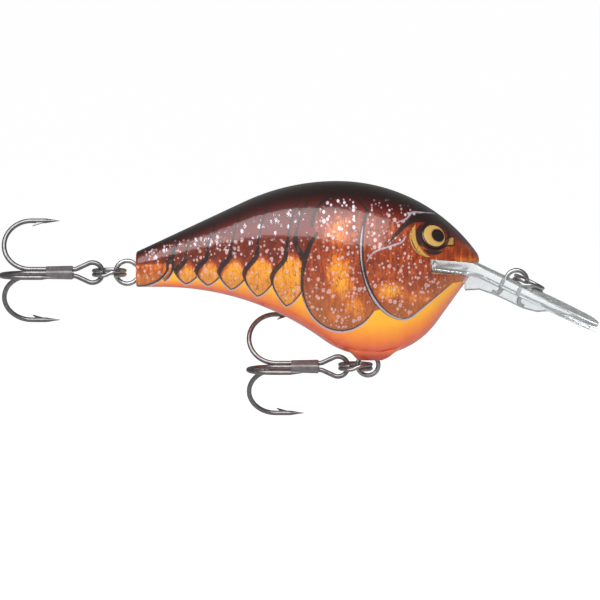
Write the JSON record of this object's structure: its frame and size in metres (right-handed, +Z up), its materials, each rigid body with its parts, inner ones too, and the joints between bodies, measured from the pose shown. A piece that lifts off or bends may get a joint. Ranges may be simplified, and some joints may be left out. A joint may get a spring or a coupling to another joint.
{
  "type": "crankbait lure",
  "caption": "Fat-bodied deep-diving fishing lure with a clear sloping lip, a line tie on split ring, and treble hooks at belly and tail that swing freely.",
  "frame": {"origin": "centre of the line-tie eye on the diving lip", "axes": "+X points forward, past the lip's tip; +Z up; +Y the lure's left"},
  "size_m": [0.1043, 0.0206, 0.0416],
  "materials": {
    "painted_balsa": "balsa under a glossy clear coat, dark brown back, mottled orange-brown flanks, yellow to orange belly",
    "painted_boss": "hard filler, red-orange paint under a glossy clear coat",
    "eye": "gold metallic iris and dark pupil under a clear dome",
    "clear_plastic": "clear moulded polycarbonate",
    "bright_steel": "bright nickel steel wire",
    "black_nickel": "smooth dark nickel plating",
    "braze": "dull plated brazing",
    "lead": "cast lead",
    "brass": "drawn brass"
  },
  "bodies": {
    "lure_body": {"body_right": "painted_balsa", "body_left": "painted_balsa", "eye_right": "eye", "eye_left": "eye", "diving_lip": "clear_plastic", "line_tie_wire": "bright_steel", "through_wire": "bright_steel", "belly_plug": "painted_boss", "belly_ballast": "lead", "rattle_tube": "brass", "rattle_cap": "brass"},
    "rattle": {"rattle_balls": "bright_steel"},
    "tie_ring": {"line_tie_ring": "bright_steel"},
    "tail_ring": {"tail_split_ring": "bright_steel"},
    "tail_treble": {"tail_double_hook": "black_nickel", "tail_single_hook": "black_nickel", "tail_hook_braze": "braze"},
    "belly_ring": {"belly_split_ring": "bright_steel"},
    "belly_treble": {"belly_double_hook": "black_nickel", "belly_single_hook": "black_nickel", "belly_hook_braze": "braze"}
  },
  "joints": [
    {"name": "rattle_slide", "type": "slide", "parent": "lure_body", "child": "rattle", "axis": [1, 0, 0], "range_m": [-0.0014, 0.0014]},
    {"name": "tie_ring_swing", "type": "hinge", "parent": "lure_body", "child": "tie_ring", "pos_m": [-0.00027, 0, 0.00059], "axis": [0, -1, 0], "range_deg": [0, 125]},
    {"name": "tail_ring_swing", "type": "hinge", "parent": "lure_body", "child": "tail_ring", "pos_m": [-0.06785, 0, 0.00145], "axis": [0, -1, 0], "range_deg": [-85, 95]},
    {"name": "tail_treble_swing", "type": "hinge", "parent": "tail_ring", "child": "tail_treble", "pos_m": [-0.07098, 0, 0.0014], "axis": [0, 0, 1], "range_deg": [-50, 50]},
    {"name": "belly_ring_swing", "type": "hinge", "parent": "lure_body", "child": "belly_ring", "pos_m": [-0.02533, 0, -0.01505], "axis": [0, -1, 0], "range_deg": [0, 150]},
    {"name": "belly_treble_swing", "type": "hinge", "parent": "belly_ring", "child": "belly_treble", "pos_m": [-0.02805, 0, -0.01505], "axis": [0, 0, -1], "range_deg": [0, 45]}
  ]
}
